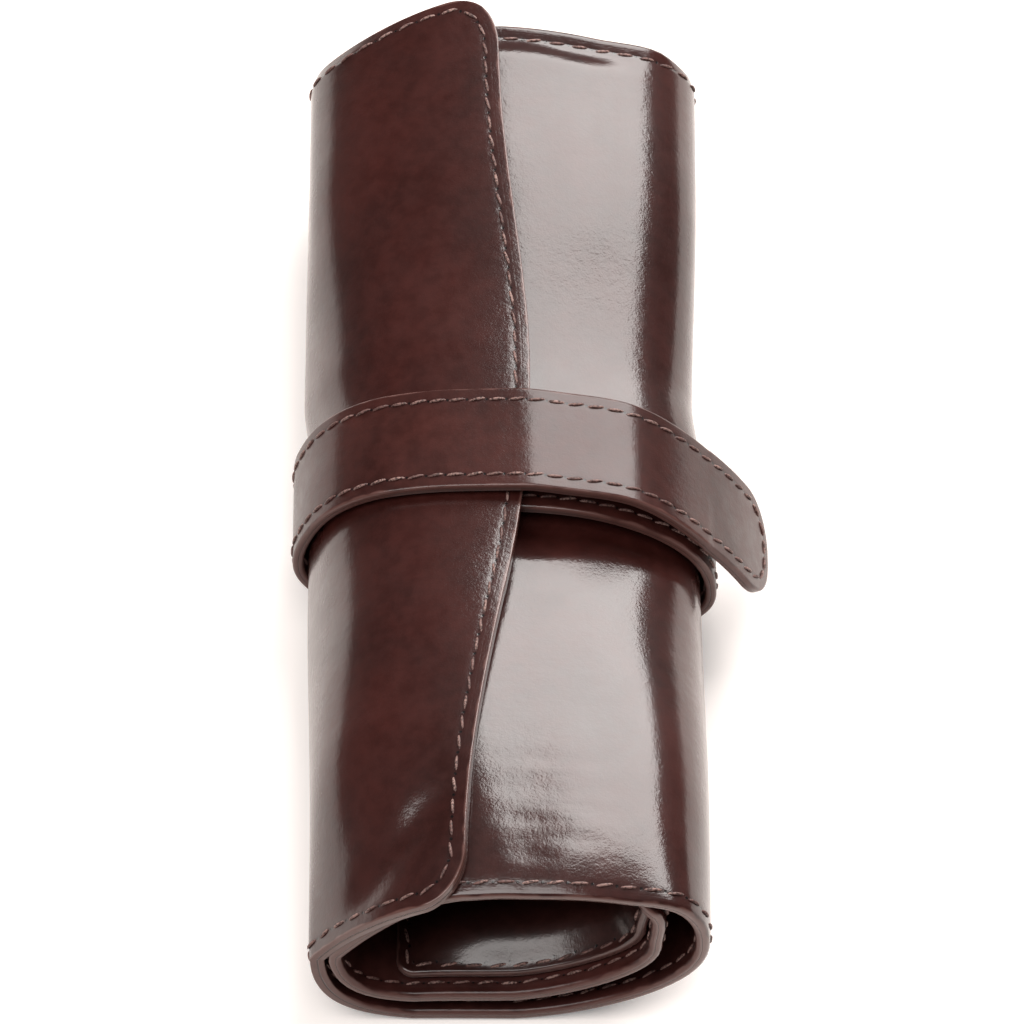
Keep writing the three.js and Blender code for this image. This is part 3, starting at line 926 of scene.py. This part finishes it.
def on_front(a, b):
    run = front_run - a
    bound = front_run - tail_length
    on_roll = on_front_at(np.interp(run, front_runs, front_degrees), b)
    off_roll = on_tail_at(run - bound, b)
    return np.where((run <= bound)[..., None], on_roll, off_roll)


front_seams = seam_line(front_run, strap_width, tip_radius, seam_inset, [False])
strap_front = lay_leather(
    "strap_front", on_front, front_run, strap_width, tip_radius, [False], strap_wall,
    [strap_finish, lining_finish], step=0.8, across_step=0.8, seams=front_seams, stitch_pitch=strap_pitch,
    rounding=lambda a: strap_edge_round,
)
front_threads = sew_strap("strap_front", on_front, front_run, front_seams)
for piece in (strap_front, *front_threads):
    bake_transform(piece)
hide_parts("strap_front_face_ply", "strap_tail_face_ply", "strap_tail_back_ply")

bpy.data.objects.remove(stitch)


# Floor: a plain pale table. In the camera's own view a little light of its own brings it to white outside
# the object's shadow.
bpy.ops.object.select_all(action="DESELECT")
bpy.ops.mesh.primitive_plane_add(size=6)
floor = bpy.context.object
floor.name = "floor"
floor_finish = bpy.data.materials.new("pale_floor")
floor_finish.use_nodes = True
tree = floor_finish.node_tree
shader = tree.nodes["Principled BSDF"]
place = new_node(tree, "ShaderNodeTexCoord").outputs["Object"]
pale = blend_colour(tree, clouds(tree, place, 3, 2), (0.87, 0.82, 0.79, 1), (0.91, 0.86, 0.83, 1))
tree.links.new(pale, shader.inputs["Base Color"])
shader.inputs["Roughness"].default_value = 0.9
shader.inputs["Specular IOR Level"].default_value = 0.1
seen = new_node(tree, "ShaderNodeLightPath").outputs["Is Camera Ray"]
shader.inputs["Emission Color"].default_value = (1, 1, 1, 1)
glow = 0.22
tree.links.new(calc(tree, "MULTIPLY", seen, glow), shader.inputs["Emission Strength"])
floor.data.materials.append(floor_finish)


# Light: a large soft box behind on the right, whose reflection lies along the top between the flap's edge
# and the right side, and a weaker one overhead on the left, a little towards the camera. Each faces the
# roll. The world fills in weakly.
def soft_box(name, turn_right, back_share, distance, size_round, size_along, power):
    round_y, across = math.radians(turn_right), math.sqrt(1 - back_share**2)
    towards = Vector((across * math.sin(round_y), back_share, across * math.cos(round_y)))
    level = Vector((math.cos(round_y), 0, -math.sin(round_y)))
    bpy.ops.object.light_add(type="AREA", location=looked_at + distance * towards)
    lamp = bpy.context.object
    lamp.name = name
    lamp.rotation_euler = Matrix((level, towards.cross(level), towards)).transposed().to_euler()
    lamp.data.shape = "RECTANGLE"
    lamp.data.size = size_round
    lamp.data.size_y = size_along
    lamp.data.energy = power
    lamp.data.color = (1, 0.965, 0.94)


soft_box(
    "key", turn_right=25.5, back_share=0.609, distance=1.2, size_round=0.88, size_along=0.97, power=25
)
soft_box(
    "overhead", turn_right=-17, back_share=-0.3, distance=1.3, size_round=1.2, size_along=0.85, power=17
)
world = bpy.data.worlds.new("studio")
scene.world = world
world.use_nodes = True
world.node_tree.nodes["Background"].inputs["Color"].default_value = (1, 0.93, 0.89, 1)
world.node_tree.nodes["Background"].inputs["Strength"].default_value = 0.1
